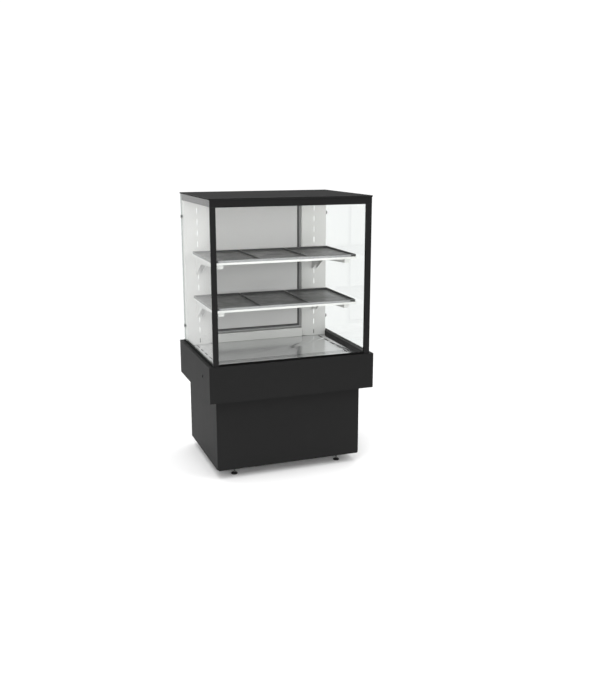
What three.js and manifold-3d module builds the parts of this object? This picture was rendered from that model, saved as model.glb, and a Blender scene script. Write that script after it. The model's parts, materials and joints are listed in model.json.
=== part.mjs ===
// A floor-standing refrigerated bakery display case: a glass box with two shelves on a wide
// black deck, and the deck on a narrower black pedestal that holds the condensing unit.
// Millimetres, +Z up, front towards -Y. The origin is on the floor, at the middle of the
// footprint.

import * as THREE from 'three';
import { mergeVertices } from 'three/addons/utils/BufferGeometryUtils.js';
import Module from 'manifold-3d';

const wasm = await Module();
wasm.setup();

// ---- Driving dimensions -------------------------------------------------------------------

const WIDTH = 800;
const DEPTH = 600;
const HEIGHT = 1300;
const GAP = 0.3; // between pieces that touch
const SHEET = 2; // folded steel

const HALF_W = WIDTH / 2;
const HALF_D = DEPTH / 2;

const DECK_BOTTOM = 392;
const DECK_TOP = 560;
const RIM_FRONT = 30; // depth of the deck's rim along the front
const RIM_SIDE = 29;
const RIM_REAR = 16;
const WELL_DEPTH = 20; // from the rim down to the deck floor
const FLOOR_Z = DECK_TOP - WELL_DEPTH;
const DECK_UNDER_FRONT = 70; // flanges under the deck
const DECK_UNDER_SIDE = 60;
const DECK_UNDER_REAR = 28;

const PEDESTAL_HALF_W = 356.5;
const PEDESTAL_FRONT = -242;
const PEDESTAL_REAR = 286;
const PEDESTAL_BOTTOM = 45;
const PEDESTAL_CORNER = 8;
const PEDESTAL_RETURN = 18;
const PEDESTAL_FOOT_CORNER = 11; // rounds the front panel's lower corners

const CAP_THICKNESS = 6;
const CAP_HALF_W = 383;
const CAP_REAR = 282;

const BOX_HALF_W = 380; // outside of the glass box
const BOX_FRONT = -295;
const BOX_REAR = 282;
const GLASS = 6;
const GLASS_REAR = 278;
const FRONT_GLASS_SETBACK = 5;
const FASCIA = 4; // the frame's front face laps the side glass by this much
const HEADER_BOTTOM = 1262;
const HEADER_BAR = 25;
const POST_WIDTH = 26;
const POST_DEPTH = 16;

const COLUMN_FRONT = 245;
const COLUMN_INNER = 243;
const COLUMN_BEND = 273; // the front face ends here and the splayed face begins
const COLUMN_SPLAY = 12;
const COLUMN_LIP = 15;
const SLOT_X = 308;
const SLOT_PITCH = 54;
const SLOT_LOWEST = 562;
const SLOT_COUNT = 13;
const SLOT_WIDTH = 4;
const HOOK_HALF_W = 1.4;
const SLOT_LENGTH = 27;

const SHELF_TOPS = { upper: 1000, lower: 784 }; // top of the brackets
const SHELF_HALF_W = 352;
const SHELF_FRONT = -200;
const SHELF_REAR = 180;
const SHELF_THICKNESS = 9.7;
const TRAY_HEIGHT = 10.7;
const TRAY_WALL = 2;
const TRAY_REAR = 177;
const TRAYS = ['left', 'middle', 'right'];
const RAIL_HALF_W = 321;
const RAIL_DEPTH = 6;
const BRACKET_WIDTH = 26;
const BRACKET_FRONT = -185;

const DOOR_HALF_W = 240.5;
const DOOR_BOTTOM = 588;
const DOOR_TOP = 1255;
const DOOR_FRONT = 262;
const DOOR_REAR = 282;
const DOOR_BAR = 18;
const DOOR_PIVOT = { x: 231.5, y: 277, pin: 3 };
const SILL_TOP = 585;

const SIDES = [['left', -1], ['right', 1]];

// ---- Materials ----------------------------------------------------------------------------

function finish(color, roughness, metalness, opacity = 1) {
  return () => new THREE.MeshStandardMaterial({
    color, roughness, metalness, opacity, transparent: opacity < 1,
  });
}

const blackSteel = finish('#2b2b2b', 0.5, 0.1);
const whiteSteel = finish('#e2e1de', 0.45, 0.05);
const stainless = finish('#c2c4c5', 0.3, 0.9);
const clearGlass = finish('#eef4f3', 0.04, 0, 0.2);
const darkTray = finish('#3a3c3a', 0.45, 0.2);
const greyPlastic = finish('#cdcdcf', 0.35, 0);
const blackPlastic = finish('#1c1c1d', 0.45, 0);
const doorGrey = finish('#c9c8c5', 0.5, 0);
const lampWhite = finish('#f6f4ec', 0.4, 0);
const foam = finish('#b8bab8', 0.6, 0);
const aluminium = finish('#b7babd', 0.35, 0.9);
const chrome = finish('#7d7f80', 0.2, 1);
const castBlack = finish('#191a1b', 0.55, 0.3);

// ---- Solids -------------------------------------------------------------------------------

function solidOf(geometry) {
  geometry.deleteAttribute('normal');
  geometry.deleteAttribute('uv');
  const merged = mergeVertices(geometry, 1e-4);
  const corners = merged.index.array;
  const triangles = [];
  for (let i = 0; i < corners.length; i += 3) {
    const [a, b, c] = corners.slice(i, i + 3);
    if (a !== b && b !== c && c !== a) triangles.push(a, b, c);
  }
  return new wasm.Manifold(new wasm.Mesh({
    numProp: 3,
    vertProperties: new Float32Array(merged.attributes.position.array),
    triVerts: new Uint32Array(triangles),
  }));
}

function geometryOf(solid) {
  const { vertProperties, triVerts } = solid.getMesh();
  const geometry = new THREE.BufferGeometry();
  geometry.setAttribute('position', new THREE.BufferAttribute(vertProperties, 3));
  geometry.setIndex(new THREE.BufferAttribute(triVerts, 1));
  geometry.computeVertexNormals();
  return geometry;
}

function join(...solids) {
  return solids.reduce((whole, next) => whole.add(next));
}

function cut(solid, ...tools) {
  return tools.reduce((rest, tool) => rest.subtract(tool), solid);
}

function block([x0, x1], [y0, y1], [z0, z1]) {
  const geometry = new THREE.BoxGeometry(Math.abs(x1 - x0), Math.abs(y1 - y0), Math.abs(z1 - z0));
  return solidOf(geometry.translate((x0 + x1) / 2, (y0 + y1) / 2, (z0 + z1) / 2));
}

// A round bar along one axis, from one place on that axis to another.
function bar(axis, [a, b], radius, [from, to], segments = 20) {
  const geometry = new THREE.CylinderGeometry(radius, radius, to - from, segments);
  geometry.translate(0, (from + to) / 2, 0);
  if (axis === 'x') geometry.rotateZ(-Math.PI / 2).translate(0, a, b);
  if (axis === 'y') geometry.translate(a, 0, b);
  if (axis === 'z') geometry.rotateX(Math.PI / 2).translate(a, b, 0);
  return solidOf(geometry);
}

// A solid of revolution about Z. The profile is a list of [radius, height], from low to high.
function turned(profile, segments = 20) {
  const points = profile.map(([radius, height]) => new THREE.Vector2(radius, height));
  return solidOf(new THREE.LatheGeometry(points, segments).rotateX(Math.PI / 2));
}

function extruded(outline, length, holes = []) {
  const toVectors = (list) => list.map(([a, b]) => new THREE.Vector2(a, b));
  const shape = new THREE.Shape(toVectors(outline));
  shape.holes = holes.map((hole) => new THREE.Path(toVectors(hole)));
  return new THREE.ExtrudeGeometry(shape, { depth: length, bevelEnabled: false });
}

// The outline is in (y, z) here, in (x, z) for alongY and in (x, y) for alongZ.
function alongX(outline, [x0, x1], holes) {
  const turn = new THREE.Matrix4().makeBasis(
    new THREE.Vector3(0, 1, 0), new THREE.Vector3(0, 0, 1), new THREE.Vector3(1, 0, 0),
  );
  return solidOf(extruded(outline, x1 - x0, holes).applyMatrix4(turn).translate(x0, 0, 0));
}

function alongY(outline, [y0, y1], holes) {
  return solidOf(extruded(outline, y1 - y0, holes).rotateX(Math.PI / 2).translate(0, y1, 0));
}

function alongZ(outline, [z0, z1], holes) {
  return solidOf(extruded(outline, z1 - z0, holes).translate(0, 0, z0));
}

function rectangle([a0, a1], [b0, b1]) {
  return [[a0, b0], [a1, b0], [a1, b1], [a0, b1]];
}

function arc([a, b], radius, fromDegrees, toDegrees, steps) {
  return Array.from({ length: steps + 1 }, (_, i) => {
    const angle = THREE.MathUtils.degToRad(fromDegrees + ((toDegrees - fromDegrees) * i) / steps);
    return [a + radius * Math.cos(angle), b + radius * Math.sin(angle)];
  });
}

function roundedRectangle([a0, a1], [b0, b1], radius, steps = 4) {
  return [
    ...arc([a1 - radius, b0 + radius], radius, -90, 0, steps),
    ...arc([a1 - radius, b1 - radius], radius, 0, 90, steps),
    ...arc([a0 + radius, b1 - radius], radius, 90, 180, steps),
    ...arc([a0 + radius, b0 + radius], radius, 180, 270, steps),
  ];
}

// The outline of a folded sheet: its outer face follows the path, and the sheet's thickness
// lies on the left of the path.
function folded(path, thickness = SHEET) {
  const normal = ([a0, b0], [a1, b1]) => {
    const length = Math.hypot(a1 - a0, b1 - b0);
    return [(b0 - b1) / length, (a1 - a0) / length];
  };
  const inner = path.map((point, i) => {
    const before = i > 0 ? normal(path[i - 1], point) : normal(point, path[i + 1]);
    const after = i < path.length - 1 ? normal(point, path[i + 1]) : before;
    const reach = thickness / (1 + before[0] * after[0] + before[1] * after[1]);
    return [point[0] + (before[0] + after[0]) * reach, point[1] + (before[1] + after[1]) * reach];
  });
  return [...path, ...inner.reverse()];
}

// Outlines are drawn for the left side and mirrored for the right.
function mirrored(outline, side) {
  return outline.map(([a, b]) => [-side * a, b]);
}

function piece(name, solid, material) {
  const mesh = new THREE.Mesh(geometryOf(solid), material());
  mesh.name = name;
  return mesh;
}

function placed(mesh, x, y, z) {
  mesh.position.set(x, y, z);
  return mesh;
}

// A group at a place of its own, for pieces that share one reference point.
function groupAt([x, y, z], ...children) {
  const group = new THREE.Group();
  group.position.set(x, y, z);
  group.add(...children);
  return group;
}

// ---- Pedestal -----------------------------------------------------------------------------

const FEET = [
  ['front_left', -262, -185], ['front_right', 262, -185],
  ['rear_left', -262, 225], ['rear_right', 262, 225],
];
const STEM_RADIUS = 5;
const PANEL_CONTROLS_Z = 345;
const THERMOSTAT_X = 250;
const INLET_X = -250;
const LOUVRE = { columns: [-165, 165], width: 250, height: 10, rows: 9, lowest: 85, pitch: 24 };

function levellingFoot() {
  const body = turned([
    [0, 0], [13, 0], [15, 1.5], [15, 6], [7, 10], [STEM_RADIUS, 11], [STEM_RADIUS, 58], [0, 58],
  ], 16);
  const nut = alongZ(arc([0, 0], 9, 0, 300, 5), [26, 34]);
  return join(body, nut);
}

function pedestalFrontPanel() {
  const left = -PEDESTAL_HALF_W;
  const corner = [left + PEDESTAL_CORNER, PEDESTAL_FRONT + PEDESTAL_CORNER];
  const leftPath = [
    [left, PEDESTAL_FRONT + PEDESTAL_RETURN], ...arc(corner, PEDESTAL_CORNER, 180, 270, 4),
  ];
  const rightPath = leftPath.map(([x, y]) => [-x, y]).reverse();
  const panel = alongZ(folded([...leftPath, ...rightPath]), [PEDESTAL_BOTTOM, DECK_BOTTOM - GAP]);
  const trims = [-1, 1].map((side) => {
    const [x, z] = [side * (PEDESTAL_HALF_W - PEDESTAL_FOOT_CORNER), PEDESTAL_BOTTOM + PEDESTAL_FOOT_CORNER];
    const [from, to] = side < 0 ? [180, 270] : [270, 360];
    const edge = arc([x, z], PEDESTAL_FOOT_CORNER, from, to, 5);
    const outline = [...edge, [side * (PEDESTAL_HALF_W + 5), PEDESTAL_BOTTOM - 5]];
    const past = side < 0
      ? [[-PEDESTAL_HALF_W - 5, z], ...outline.slice(0, -1), [x, PEDESTAL_BOTTOM - 5], outline.at(-1)]
      : [[x, PEDESTAL_BOTTOM - 5], ...outline.slice(0, -1), [PEDESTAL_HALF_W + 5, z], outline.at(-1)];
    return alongY(past, [PEDESTAL_FRONT - 1, PEDESTAL_FRONT + PEDESTAL_RETURN + 1]);
  });
  return cut(panel, ...trims);
}

function pedestalSide(side) {
  const path = [
    [-PEDESTAL_HALF_W + 22, PEDESTAL_REAR], [-PEDESTAL_HALF_W, PEDESTAL_REAR],
    [-PEDESTAL_HALF_W, PEDESTAL_FRONT + PEDESTAL_RETURN + GAP],
  ];
  return alongZ(mirrored(folded(path), side), [PEDESTAL_BOTTOM, DECK_BOTTOM - GAP]);
}

function pedestalBasePlate() {
  const reach = PEDESTAL_HALF_W - SHEET - GAP;
  const outline = roundedRectangle(
    [-reach, reach], [PEDESTAL_FRONT + SHEET + GAP, PEDESTAL_REAR - SHEET - GAP], 2.2 * PEDESTAL_CORNER,
  );
  const plate = alongZ(outline, [PEDESTAL_BOTTOM, PEDESTAL_BOTTOM + 3 - GAP]);
  const holes = FEET.map(([, x, y]) => bar('z', [x, y], STEM_RADIUS + GAP, [40, 55]));
  return cut(plate, ...holes);
}

function servicePanel() {
  const [inside, outside] = [PEDESTAL_REAR + GAP, PEDESTAL_REAR + GAP + SHEET];
  const openings = [];
  for (const x of LOUVRE.columns) {
    for (let row = 0; row < LOUVRE.rows; row += 1) {
      const z = LOUVRE.lowest + row * LOUVRE.pitch;
      openings.push(block(
        [x - LOUVRE.width / 2, x + LOUVRE.width / 2], [inside - 1, outside + 1],
        [z, z + LOUVRE.height],
      ));
    }
  }
  openings.push(bar('y', [THERMOSTAT_X, PANEL_CONTROLS_Z], 5.3, [inside - 1, outside + 1]));
  openings.push(block(
    [INLET_X - 14, INLET_X + 14], [inside - 1, outside + 1],
    [PANEL_CONTROLS_Z - 10.5, PANEL_CONTROLS_Z + 10.5],
  ));
  const sheet = block(
    [-PEDESTAL_HALF_W, PEDESTAL_HALF_W], [inside, outside], [PEDESTAL_BOTTOM + 2, DECK_BOTTOM - 2],
  );
  return cut(sheet, ...openings);
}

// Origin on the service panel's outer face, on the shaft's axis.
function thermostat() {
  const body = block([-22, 22], [-32, -SHEET - GAP], [-16, 16]);
  const bushing = bar('y', [0, 0], 5, [-4, 0.4]);
  const shaft = bar('y', [0, 0], 3, [0, 8]);
  return join(body, bushing, shaft);
}

// At rest the grip bar points at the lowest mark, 135 degrees before the top.
function thermostatKnob() {
  const rim = bar('y', [0, 0], 18, [0.7, 5], 28);
  const grip = bar('y', [0, 0], 14, [4, 11.2], 28);
  const wing = block([-4, 4], [4, 11.2], [-17, 17]).rotate([0, 135, 0]);
  const bore = bar('y', [0, 0], 3 + GAP, [0, 8.6]);
  return cut(join(rim, grip, wing), bore);
}

// A standard appliance inlet: flange outside the panel, socket with three pins.
function powerInlet() {
  const flange = alongY(roundedRectangle([-25, 25], [-14, 14], 5), [GAP, 2.5]);
  const shroud = block([-13.7, 13.7], [-22, 1], [-10.2, 10.2]);
  const recess = block([-12, 12], [-16, 3], [-8, 8]);
  const pins = [[-7, -2], [0, 2], [7, -2]].map(
    ([x, z]) => block([x - 1, x + 1], [-18, -3], [z - 2, z + 2]),
  );
  return join(cut(join(flange, shroud), recess), ...pins);
}

function pedestal() {
  const group = new THREE.Group();
  group.add(piece('pedestal_front_panel', pedestalFrontPanel(), blackSteel));
  for (const [name, side] of SIDES) {
    group.add(piece(`pedestal_side_${name}`, pedestalSide(side), blackSteel));
  }
  group.add(piece('pedestal_base_plate', pedestalBasePlate(), blackSteel));
  group.add(piece('service_panel', servicePanel(), blackSteel));
  for (const [name, x, y] of FEET) {
    group.add(placed(piece(`foot_${name}`, levellingFoot(), blackPlastic), x, y, 0));
  }
  const panelFace = PEDESTAL_REAR + GAP + SHEET;
  group.add(groupAt(
    [THERMOSTAT_X, panelFace, PANEL_CONTROLS_Z],
    piece('thermostat', thermostat(), blackPlastic),
    piece('thermostat_knob', thermostatKnob(), blackPlastic),
  ));
  group.add(groupAt(
    [INLET_X, panelFace, PANEL_CONTROLS_Z],
    piece('power_inlet', powerInlet(), blackPlastic),
  ));
  return group;
}

// ---- Refrigeration ------------------------------------------------------------------------

// A hub with pitched blades on the Y axis.
function axialFan(radius, hubRadius, width, blades) {
  const hub = bar('y', [0, 0], hubRadius, [-width / 2, width / 2], 16);
  const parts = Array.from({ length: blades }, (_, i) => {
    const span = radius - hubRadius + 3;
    const geometry = new THREE.BoxGeometry(span, 2, radius * 0.48);
    geometry.rotateX(THREE.MathUtils.degToRad(24)).translate(hubRadius - 3 + span / 2, 0, 0);
    return solidOf(geometry.rotateY((i * 2 * Math.PI) / blades));
  });
  return join(hub, ...parts);
}

// A finned block: deep grooves along Y leave thin fins on a common back.
function finnedCoil([x0, x1], [y0, y1], [z0, z1], fins) {
  const pitch = (x1 - x0) / fins;
  const grooves = Array.from({ length: fins - 1 }, (_, i) => {
    const x = x0 + pitch * (i + 1);
    return block([x - pitch * 0.3, x + pitch * 0.3], [y0 - 1, y1 - 8], [z0 - 1, z1 + 1]);
  });
  return cut(block([x0, x1], [y0, y1], [z0, z1]), ...grooves);
}

// A square plate with a round mouth, and a motor held in the mouth by a cross bar.
function fanHousing(size, mouthRadius, motorRadius, depth) {
  const half = size / 2;
  const plate = cut(
    block([-half, half], [-depth / 2, depth / 2], [-half, half]),
    bar('y', [0, 0], mouthRadius, [-depth, depth], 32),
  );
  const arms = block([-half + 1, half - 1], [-depth / 2 - 6, -depth / 2 + 1], [-7, 7]);
  const motor = bar('y', [0, 0], motorRadius, [-depth / 2 - 44, -depth / 2 - 2], 20);
  return join(plate, arms, motor);
}

function compressor() {
  const can = turned([
    [0, 2], [62, 2], [80, 10], [86, 28], [86, 96], [82, 122], [68, 142], [40, 153], [0, 156],
  ], 28);
  const feet = alongZ(roundedRectangle([-112, 112], [-58, 58], 14), [0, 4]);
  const terminalBox = block([-24, 24], [-98, -70], [52, 100]);
  const line = new THREE.CatmullRomCurve3([
    new THREE.Vector3(60, 30, 120), new THREE.Vector3(66, 42, 190), new THREE.Vector3(110, 70, 226),
    new THREE.Vector3(172, 104, 226),
  ]);
  const section = new THREE.Shape(arc([0, 0], 4, 0, 315, 7).map(([a, b]) => new THREE.Vector2(a, b)));
  const pipe = solidOf(new THREE.ExtrudeGeometry(
    section, { steps: 24, bevelEnabled: false, extrudePath: line },
  ));
  return join(can, feet, terminalBox, pipe);
}

function refrigeration() {
  const group = new THREE.Group();
  const base = PEDESTAL_BOTTOM + 3;
  group.add(placed(piece('compressor', compressor(), castBlack), -175, 60, base));
  group.add(groupAt(
    [125, 0, base + 135],
    piece('condenser', finnedCoil([-115, 115], [222, 270], [-130, 130], 26), aluminium),
    placed(piece('condenser_fan_housing', fanHousing(230, 104, 34, 14), castBlack), 0, 200, 0),
    placed(piece('condenser_fan', axialFan(98, 30, 18, 5), blackPlastic), 0, 206, 0),
  ));
  group.add(groupAt(
    [0, 0, 470],
    piece('evaporator', evaporator(), aluminium),
    placed(piece('evaporator_fan', axialFan(38, 14, 12, 5), blackPlastic), 0, 30, 0),
  ));
  return group;
}

// The cooling coil with its fan plate in front, joined by the two end sheets.
function evaporator() {
  const coil = finnedCoil([-220, 220], [70, 190], [-42, 42], 30);
  const ends = [-1, 1].map((side) => block([side * 219, side * 222], [20, 192], [-44, 44]));
  const plate = cut(
    block([-221, 221], [20, 24], [-44, 44]), bar('y', [0, 0], 41, [10, 30], 28),
  );
  const arms = block([-46, 46], [12, 21], [-4, 4]);
  const motor = bar('y', [0, 0], 17, [-10, 20], 16);
  return join(coil, ...ends, plate, arms, motor);
}

// ---- Deck ---------------------------------------------------------------------------------

const FLOOR_SLOT_X = 329;
const FLOOR_SLOT_PITCH = 83;
const FLOOR_SLOT_FIRST = -209;
const FLOOR_SLOTS = 6;
const FLOOR_SLOT_LENGTH = 56;
const INSULATION = 25;
const SWITCH = { y: -172, z: 489.5, radius: 10 };
const SWITCH_TILT = 8; // degrees either way

// The front and rear panels run the full width, and their flanges fit between the sides.
function withTrimmedFlanges(panel, [y0, y1]) {
  const trims = [-1, 1].map((side) => block(
    [side * (HALF_W - SHEET - GAP), side * (HALF_W + 1)], [y0, y1], [DECK_BOTTOM - 1, DECK_TOP + 1],
  ));
  return cut(panel, ...trims);
}

function deckFrontPanel() {
  const lip = -HALF_D + RIM_FRONT;
  const path = [
    [lip, FLOOR_Z + GAP], [lip, DECK_TOP], [-HALF_D, DECK_TOP], [-HALF_D, DECK_BOTTOM],
    [-HALF_D + DECK_UNDER_FRONT, DECK_BOTTOM],
  ];
  const panel = alongX(folded(path), [-HALF_W, HALF_W]);
  return withTrimmedFlanges(panel, [-HALF_D + SHEET + GAP, 0]);
}

function deckRearPanel() {
  const riser = HALF_D - RIM_REAR;
  const path = [
    [HALF_D - DECK_UNDER_REAR, DECK_BOTTOM], [HALF_D, DECK_BOTTOM], [HALF_D, DECK_TOP],
    [riser, DECK_TOP], [riser, FLOOR_Z], [COLUMN_FRONT + 1, FLOOR_Z],
  ];
  const panel = alongX(folded(path), [-HALF_W, HALF_W]);
  const ledgeEnds = [-1, 1].map((side) => block(
    [side * (BOX_HALF_W - GLASS - GAP), side * HALF_W], [200, riser - GAP],
    [FLOOR_Z - 10, DECK_TOP + 1],
  ));
  return cut(withTrimmedFlanges(panel, [200, HALF_D - SHEET - GAP]), ...ledgeEnds);
}

function deckSide(side) {
  const lip = -HALF_W + RIM_SIDE;
  const path = [
    [lip, FLOOR_Z + GAP], [lip, DECK_TOP], [-HALF_W, DECK_TOP], [-HALF_W, DECK_BOTTOM],
    [-HALF_W + DECK_UNDER_SIDE, DECK_BOTTOM],
  ];
  const inner = HALF_W - SHEET + GAP / 3;
  const trim = (x0, x1, y0, y1, z0, z1) => block([side * x0, side * x1], [y0, y1], [z0, z1]);
  const end = HALF_D + 1;
  const panel = alongY(
    mirrored(folded(path), side), [-HALF_D + SHEET + GAP, HALF_D - SHEET - GAP],
  );
  const trims = [
    trim(300, inner, -end, -HALF_D + RIM_FRONT + GAP, FLOOR_Z - 5, DECK_TOP + 1),
    trim(300, inner, -end, -HALF_D + DECK_UNDER_FRONT + GAP, DECK_BOTTOM - 1, FLOOR_Z - 5),
    trim(300, inner, HALF_D - RIM_REAR - GAP, end, FLOOR_Z - 5, DECK_TOP + 1),
    trim(300, inner, HALF_D - DECK_UNDER_REAR - GAP, end, DECK_BOTTOM - 1, FLOOR_Z - 5),
    trim(300, BOX_HALF_W - GLASS, COLUMN_FRONT - GAP, end, FLOOR_Z - 5, DECK_TOP + 1),
  ];
  if (side < 0) {
    trims.push(bar('x', [SWITCH.y, SWITCH.z], SWITCH.radius + GAP, [-HALF_W - 1, -HALF_W + 6]));
  }
  return cut(panel, ...trims);
}

// An insulated well under the deck floor. Its floor and walls are foam-filled.
function deckTub() {
  const [x, front, rear] = [369, -HALF_D + RIM_FRONT + 2, COLUMN_FRONT - 2];
  const top = FLOOR_Z - SHEET - GAP;
  const body = block([-x, x], [front, rear], [DECK_BOTTOM + SHEET + GAP, top]);
  const hollow = block(
    [-x + INSULATION, x - INSULATION], [front + INSULATION, rear - INSULATION],
    [DECK_BOTTOM + SHEET + 30, top + 1],
  );
  return cut(body, hollow);
}

function deckFloor() {
  const half = HALF_W - RIM_SIDE - 0.5;
  const plate = block(
    [-half, half], [-HALF_D + RIM_FRONT + 0.5, COLUMN_FRONT - 0.5], [FLOOR_Z - SHEET, FLOOR_Z],
  );
  const slots = [];
  for (const x of [-FLOOR_SLOT_X, FLOOR_SLOT_X]) {
    for (let i = 0; i < FLOOR_SLOTS; i += 1) {
      const y = FLOOR_SLOT_FIRST + i * FLOOR_SLOT_PITCH;
      slots.push(alongZ(
        roundedRectangle(
          [x - 4, x + 4], [y - FLOOR_SLOT_LENGTH / 2, y + FLOOR_SLOT_LENGTH / 2], 3.9, 3,
        ),
        [FLOOR_Z - 5, FLOOR_Z + 5],
      ));
    }
  }
  return cut(plate, ...slots);
}

// A light upstand between the two columns, under the door.
function rearSill() {
  const path = [
    [BOX_REAR, FLOOR_Z + GAP], [BOX_REAR, SILL_TOP], [COLUMN_FRONT, SILL_TOP],
    [COLUMN_FRONT, FLOOR_Z + GAP],
  ];
  return alongX(folded(path), [-COLUMN_INNER + GAP, COLUMN_INNER - GAP]);
}

// Origin at the middle of the switch, on the deck's side face, with +X into the deck.
function lightSwitchBezel() {
  const body = bar('x', [0, 0], SWITCH.radius, [0, 16], 24);
  const mouth = block([-1, 10], [-6.5, 6.5], [-6.5, 6.5]);
  return cut(body, mouth);
}

// The rocker turns about Y at its middle. Its outer face is a shallow V, and it rests with its
// upper half pressed in.
function lightSwitchRocker() {
  const outline = [[-2.6, -6], [-1.4, 0], [-2.6, 6], [2, 5.2], [3.2, 0], [2, -5.2]];
  return alongY(outline, [-6.1, 6.1]).rotate([0, SWITCH_TILT, 0]);
}

function deck() {
  const group = new THREE.Group();
  group.add(piece('deck_front_panel', deckFrontPanel(), blackSteel));
  group.add(piece('deck_rear_panel', deckRearPanel(), blackSteel));
  for (const [name, side] of SIDES) {
    group.add(piece(`deck_side_${name}`, deckSide(side), blackSteel));
  }
  group.add(piece('deck_tub', deckTub(), foam));
  group.add(piece('deck_floor', deckFloor(), stainless));
  group.add(piece('rear_sill', rearSill(), whiteSteel));
  group.add(groupAt(
    [-HALF_W, SWITCH.y, SWITCH.z],
    piece('light_switch_bezel', lightSwitchBezel(), blackPlastic),
    placed(piece('light_switch_rocker', lightSwitchRocker(), blackPlastic), 4, 0, 0),
  ));
  return group;
}

// ---- Glass box ----------------------------------------------------------------------------

const FIXING_Y = 262;
const FIXINGS = [['upper', 1184], ['lower', 640]];
const FIXING_RADIUS = 9;
const CAP_BOTTOM = HEIGHT - CAP_THICKNESS;
const STAND_Z = DECK_TOP + GAP;
const LAMP_HALF_LENGTH = 330;

function capPlate() {
  const outline = roundedRectangle([-CAP_HALF_W, CAP_HALF_W], [-HALF_D, CAP_REAR], 5);
  return alongZ(outline, [CAP_BOTTOM, HEIGHT]);
}

function headerFrame() {
  const side = BOX_HALF_W - GLASS - GAP;
  const [bottom, top] = [HEADER_BOTTOM, CAP_BOTTOM - GAP];
  const inner = side - HEADER_BAR;
  const ring = alongZ(
    rectangle([-side, side], [BOX_FRONT, BOX_REAR]), [bottom, top],
    [rectangle([-inner, inner], [BOX_FRONT + HEADER_BAR, BOX_REAR - HEADER_BAR])],
  );
  const fascia = block([-BOX_HALF_W, BOX_HALF_W], [BOX_FRONT, BOX_FRONT + FASCIA], [bottom, top]);
  return join(ring, fascia);
}

function frontPost(side) {
  const inner = -BOX_HALF_W + POST_WIDTH;
  const behindGlass = -BOX_HALF_W + GLASS + GAP;
  const outline = [
    [-BOX_HALF_W, BOX_FRONT], [inner, BOX_FRONT], [inner, BOX_FRONT + POST_DEPTH],
    [behindGlass, BOX_FRONT + POST_DEPTH], [behindGlass, BOX_FRONT + FASCIA],
    [-BOX_HALF_W, BOX_FRONT + FASCIA],
  ];
  return alongZ(mirrored(outline, side), [STAND_Z, HEADER_BOTTOM - GAP]);
}

// A folded column with a splayed inner face and a row of slots for the shelf brackets.
function rearColumn(side) {
  const outer = BOX_HALF_W - GLASS - GAP;
  const path = [
    [-COLUMN_INNER - COLUMN_LIP, BOX_REAR], [-COLUMN_INNER, BOX_REAR],
    [-COLUMN_INNER, COLUMN_FRONT + COLUMN_SPLAY], [-COLUMN_BEND, COLUMN_FRONT],
    [-outer, COLUMN_FRONT], [-outer, BOX_REAR], [-outer + COLUMN_LIP, BOX_REAR],
  ];
  const column = alongZ(
    mirrored(folded(path.reverse()), side), [FLOOR_Z + GAP, HEADER_BOTTOM - GAP],
  );
  const slots = Array.from({ length: SLOT_COUNT }, (_, i) => {
    const z = SLOT_LOWEST + i * SLOT_PITCH;
    return block(
      [side * SLOT_X - SLOT_WIDTH / 2, side * SLOT_X + SLOT_WIDTH / 2],
      [COLUMN_FRONT - 5, COLUMN_FRONT + 5], [z - SLOT_LENGTH / 2, z + SLOT_LENGTH / 2],
    );
  });
  return cut(column, ...slots);
}

function frontGlass() {
  const half = BOX_HALF_W - POST_WIDTH - GAP;
  const face = BOX_FRONT + FRONT_GLASS_SETBACK;
  return block([-half, half], [face, face + GLASS], [STAND_Z, HEADER_BOTTOM - GAP]);
}

function sideGlass(side) {
  const pane = block(
    [side * (BOX_HALF_W - GLASS), side * BOX_HALF_W], [BOX_FRONT + FASCIA + GAP, GLASS_REAR],
    [STAND_Z, CAP_BOTTOM - GAP],
  );
  const reach = side < 0 ? [-BOX_HALF_W - 5, -BOX_HALF_W + 10] : [BOX_HALF_W - 10, BOX_HALF_W + 5];
  const holes = FIXINGS.map(([, z]) => bar('x', [FIXING_Y, z], 4 + GAP, reach));
  return cut(pane, ...holes);
}

// A round-headed fixing that clamps the pane to the column. Origin on the pane's outer face.
function glassFixing(side) {
  const head = turned([[0, GAP], [FIXING_RADIUS, GAP], [FIXING_RADIUS, 3.4], [7.4, 4.8], [0, 4.8]]);
  const stem = bar('z', [0, 0], 4, [-GLASS + 0.1, 1]);
  return join(head, stem).rotate([0, side * 90, 0]);
}

// A batten lamp inside the header, on its front bar and under the cap plate.
function topLamp() {
  const [front, rear, top] = [BOX_FRONT + 29, BOX_FRONT + 55, CAP_BOTTOM - 1];
  const outline = [[front, top], [front, top - 19], [front + 16, top - 25], [rear, top - 19], [rear, top]];
  return alongX(outline, [-LAMP_HALF_LENGTH, LAMP_HALF_LENGTH]);
}

function glassBox() {
  const group = new THREE.Group();
  group.add(piece('cap_plate', capPlate(), blackSteel));
  group.add(piece('header_frame', headerFrame(), blackSteel));
  group.add(piece('front_glass', frontGlass(), clearGlass));
  group.add(piece('top_lamp', topLamp(), lampWhite));
  for (const [name, side] of SIDES) {
    group.add(piece(`post_front_${name}`, frontPost(side), blackSteel));
    group.add(piece(`column_rear_${name}`, rearColumn(side), whiteSteel));
    group.add(piece(`side_glass_${name}`, sideGlass(side), clearGlass));
    for (const [level, z] of FIXINGS) {
      const fixing = piece(`glass_fixing_${name}_${level}`, glassFixing(side), chrome);
      group.add(placed(fixing, side * BOX_HALF_W, FIXING_Y, z));
    }
  }
  return group;
}

// ---- Shelves ------------------------------------------------------------------------------

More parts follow.
